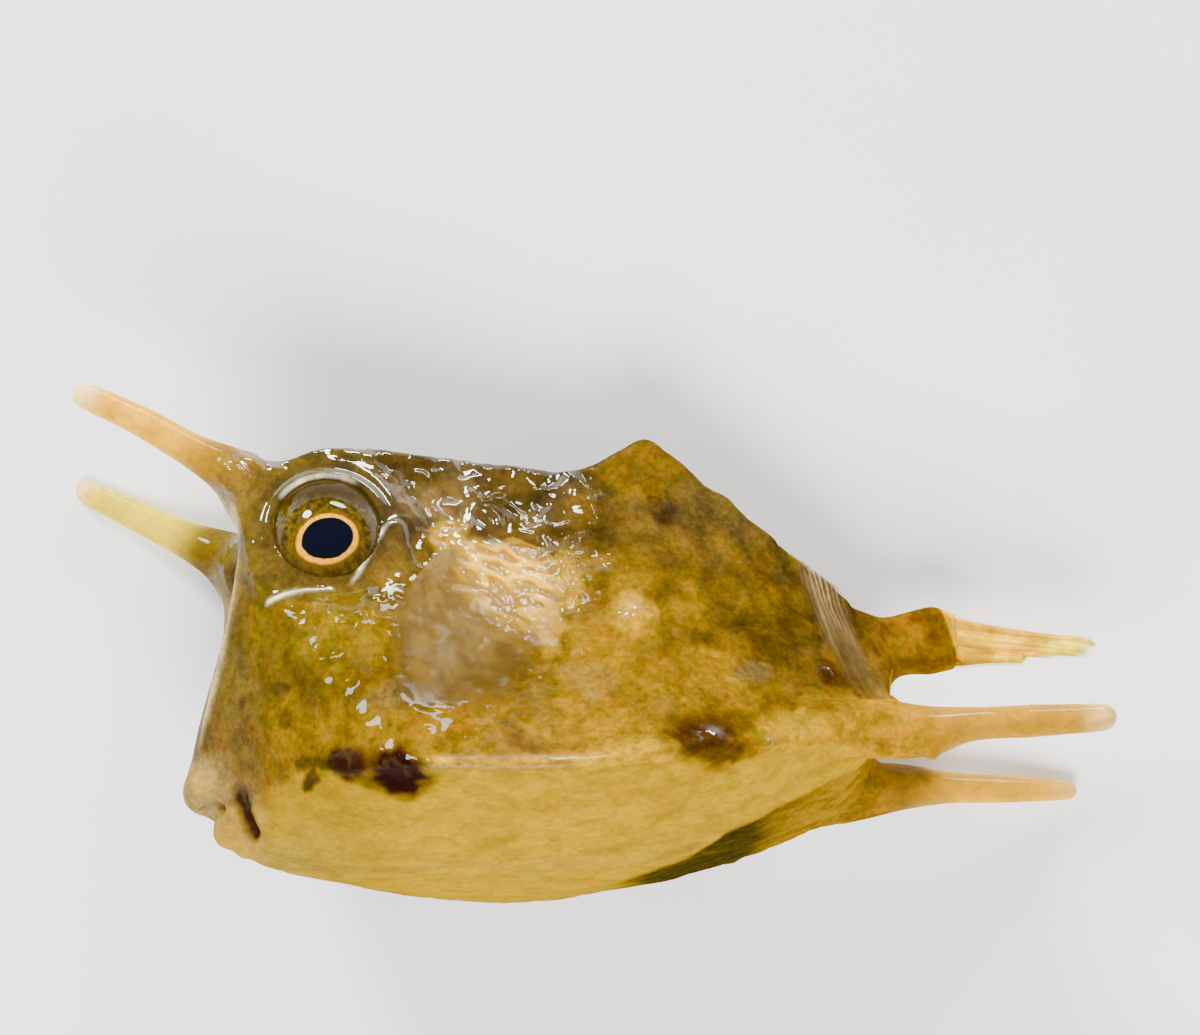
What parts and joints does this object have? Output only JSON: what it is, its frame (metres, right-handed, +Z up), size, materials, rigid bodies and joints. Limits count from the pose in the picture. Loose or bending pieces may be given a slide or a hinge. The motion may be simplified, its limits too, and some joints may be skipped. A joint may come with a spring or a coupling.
{
  "type": "longhorn cowfish",
  "caption": "Young longhorn cowfish, life size, lying on its right side: a plated, box-like body with horns over the eyes and spines behind the belly.",
  "frame": {"origin": "centre of the bounding box's underside, on the floor under the lying fish", "axes": "+X from the snout towards the tail, +Y towards the back of the fish, +Z up, which is out of its left side"},
  "size_m": [0.0458, 0.023, 0.0191],
  "materials": {
    "skin": "wet, glossy, mottled olive and yellow",
    "horn": "wet, glossy, pale orange",
    "eye": "clear and glossy over a dark pupil",
    "fin": "wet, thin and rayed",
    "tail_fin": "wet, thin and rayed"
  },
  "bodies": {
    "root": {"anal_fin": "fin", "carapace": "skin", "caudal_fin": "tail_fin", "dorsal_fin": "fin", "eye_left": "eye", "eye_right": "eye", "head": "skin", "horn_left": "horn", "horn_right": "horn", "pectoral_fin_left": "fin", "pectoral_fin_right": "fin", "spine_left": "horn", "spine_right": "horn", "tail_stalk": "skin"}
  },
  "joints": []
}
